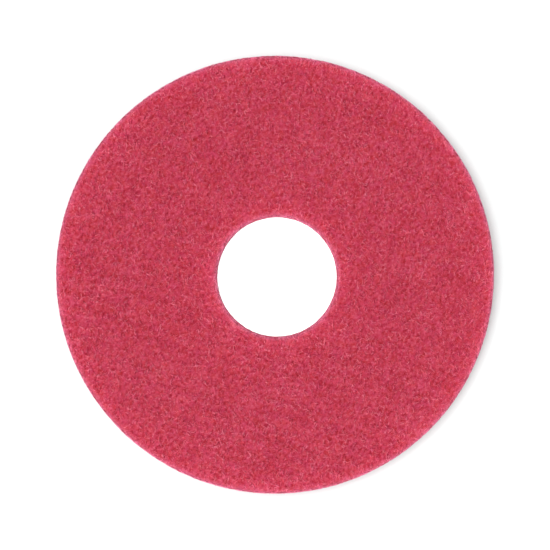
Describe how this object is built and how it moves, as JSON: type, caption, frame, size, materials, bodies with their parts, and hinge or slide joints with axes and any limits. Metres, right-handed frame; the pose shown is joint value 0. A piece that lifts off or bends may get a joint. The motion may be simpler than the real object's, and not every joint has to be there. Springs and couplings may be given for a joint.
{
  "type": "floor buffing pad",
  "caption": "Round non-woven fibre floor buffing pad, a thick springy ring with an open centre hole, for a rotary floor machine's pad driver.",
  "frame": {"origin": "centre of the face that lies on the floor, on the centre hole's axis", "axes": "+Z out of the floor, through the pad's thickness, along the centre hole's axis and the axis the pad turns about in use; X and Y are free, because the pad is round"},
  "size_m": [0.3048, 0.3048, 0.0254],
  "materials": {
    "fibre_web": "matte open web of crimped red fibres, resin bonded, lighter and pinker at the cut edges"
  },
  "bodies": {
    "root": {"floor_pad": "fibre_web"}
  },
  "joints": []
}
